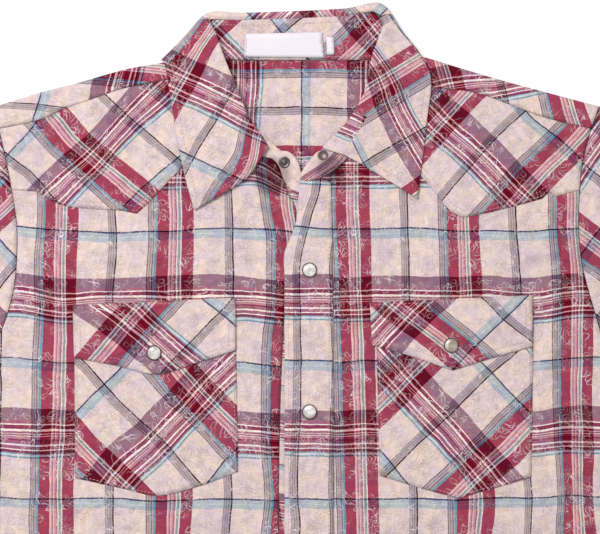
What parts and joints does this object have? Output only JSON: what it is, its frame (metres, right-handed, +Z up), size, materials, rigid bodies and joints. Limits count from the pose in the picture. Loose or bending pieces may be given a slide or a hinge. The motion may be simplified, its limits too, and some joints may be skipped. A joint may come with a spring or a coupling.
{
  "type": "western snap shirt",
  "caption": "Long-sleeved plaid cotton western shirt with pointed yokes, flap pockets and pearl snaps, laid flat on its back with the collar open.",
  "frame": {"origin": "middle of the base of the box round the whole laid-out shirt, on the surface it lies on", "axes": "+X to the viewer's right across the chest, +Y up the shirt towards the collar, +Z up from the surface"},
  "size_m": [1.4724, 0.8252, 0.0134],
  "materials": {
    "cloth": "crinkled yarn-dyed cotton plaid with a fine raised leaf figure",
    "label": "white woven satin tape, bare",
    "pearl": "pearl cap in a thin dark metal rim",
    "snap_metal": "dark gunmetal, slightly worn"
  },
  "bodies": {
    "root": {"back": "cloth", "back_yoke": "cloth", "collar": "cloth", "collar_stand": "cloth", "cuff_left": "cloth", "cuff_right": "cloth", "flap_left": "cloth", "flap_right": "cloth", "front_left": "cloth", "front_right": "cloth", "front_yoke_left": "cloth", "front_yoke_right": "cloth", "label": "label", "placket": "cloth", "placket_under": "cloth", "pocket_left": "cloth", "pocket_right": "cloth", "size_tab": "label", "sleeve_left": "cloth", "sleeve_right": "cloth", "snap_cuff_left": "pearl", "snap_cuff_right": "pearl", "snap_flap_left": "pearl", "snap_flap_right": "pearl", "snap_front_1": "pearl", "snap_front_2": "pearl", "snap_front_3": "pearl", "snap_front_4": "pearl", "snap_front_5": "pearl", "snap_stand_back": "snap_metal", "snap_stand_stud": "snap_metal"}
  },
  "joints": []
}
